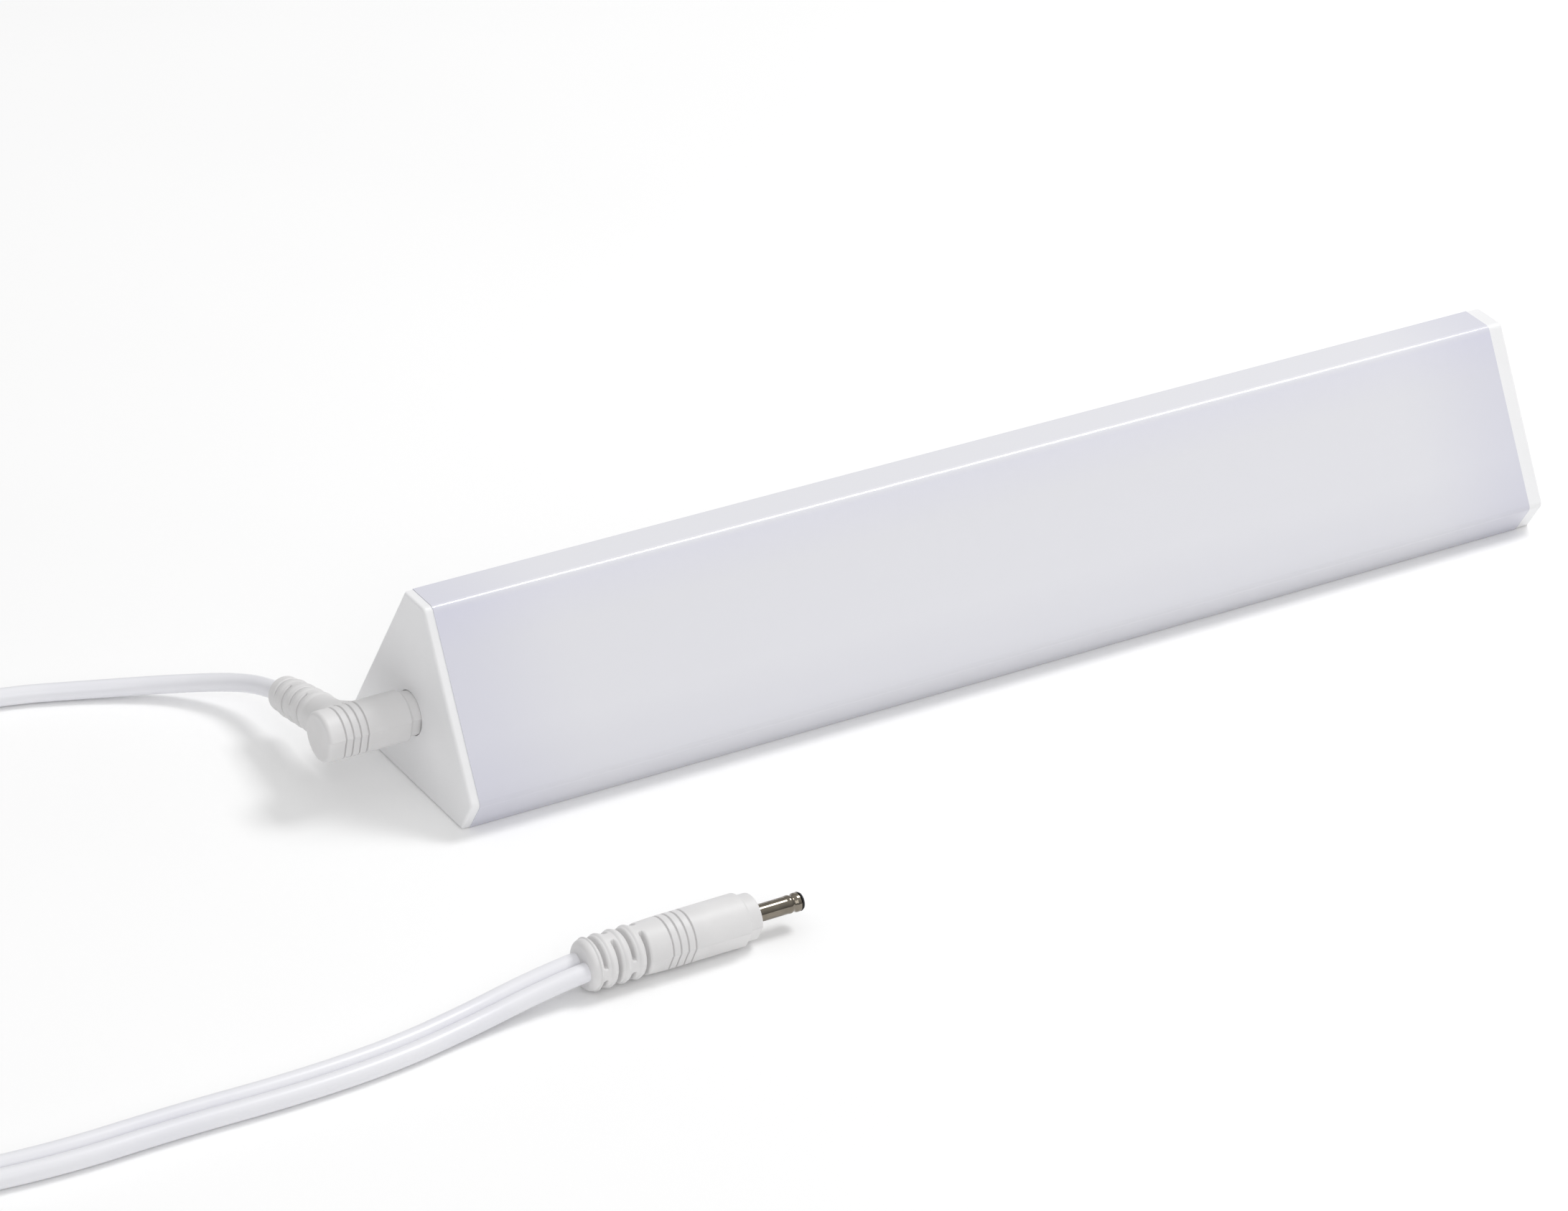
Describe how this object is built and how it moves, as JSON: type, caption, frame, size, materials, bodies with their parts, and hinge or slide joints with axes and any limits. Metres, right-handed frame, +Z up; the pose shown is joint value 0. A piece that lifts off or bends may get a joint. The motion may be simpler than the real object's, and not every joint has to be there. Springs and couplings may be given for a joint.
{
  "type": "led light tube",
  "caption": "Corner-section LED light tube with an opal front, white end caps and a DC jack, and a two-branch lead with angled and straight barrel plugs",
  "frame": {"origin": "Bottom centre of the tube, leaving out its free lead and plugs, with the tube lying on one back wall", "axes": "+X along the tube from its jack end to its blank end, +Z up from the surface it lies on, and the light face turned to -Y and 30 degrees up"},
  "size_m": [0.4577, 0.1717, 0.0416],
  "materials": {
    "white_abs": "satin moulded ABS",
    "opal_pc": "semi-gloss opal polycarbonate",
    "housing_pc": "satin white extrusion",
    "board_white": "white solder mask on an aluminium board",
    "thermal_tape": "adhesive tape",
    "led_phosphor": "phosphor-filled silicone",
    "resistor_black": "chip resistor",
    "jack_black": "glass-filled nylon",
    "contact_nickel": "nickel-plated brass",
    "wire_red": "PVC insulation",
    "wire_black": "PVC insulation",
    "plug_pvc": "satin moulded PVC",
    "plug_core": "moulded polyethylene",
    "insulator_black": "moulded nylon",
    "cord_pvc": "glossy extruded PVC",
    "tie_pvc": "PVC-coated wire"
  },
  "bodies": {
    "tube": {"back_housing": "housing_pc", "diffuser": "opal_pc", "end_cap_jack": "white_abs", "end_cap_blank": "white_abs", "board_tape": "thermal_tape", "led_board": "board_white", "led_packages": "led_phosphor", "resistors": "resistor_black", "jack_housing": "jack_black", "jack_centre_pin": "contact_nickel", "jack_spring_contact": "contact_nickel", "wire_positive": "wire_red", "wire_negative": "wire_black"},
    "power_lead": {"lead_a_in": "cord_pvc", "lead_a_out": "cord_pvc", "lead_b_out": "cord_pvc", "lead_b_tail": "cord_pvc", "coil_a": "cord_pvc", "coil_b": "cord_pvc", "coil_tie": "tie_pvc", "straight_plug_moulding": "plug_pvc", "straight_plug_inner_mould": "plug_core", "straight_plug_barrel": "contact_nickel", "straight_plug_insulator": "insulator_black", "straight_plug_contact": "contact_nickel", "spare_plug_moulding": "plug_pvc", "spare_plug_inner_mould": "plug_core", "spare_plug_barrel": "contact_nickel", "spare_plug_insulator": "insulator_black", "spare_plug_contact": "contact_nickel"},
    "angle_plug": {"angle_plug_moulding": "plug_pvc", "angle_plug_inner_mould": "plug_core", "angle_plug_barrel": "contact_nickel", "angle_plug_insulator": "insulator_black", "angle_plug_contact": "contact_nickel"}
  },
  "joints": [
    {"name": "lead_pull", "type": "slide", "parent": "tube", "child": "power_lead", "axis": [-1, 0, 0], "range_m": [0, 0.012]},
    {"name": "plug_swivel", "type": "hinge", "parent": "power_lead", "child": "angle_plug", "pos_m": [-0.1296, -0.00122, 0.01565], "axis": [1, 0, 0], "range_deg": [0, 25], "deforming": ["lead_a_in"]}
  ]
}
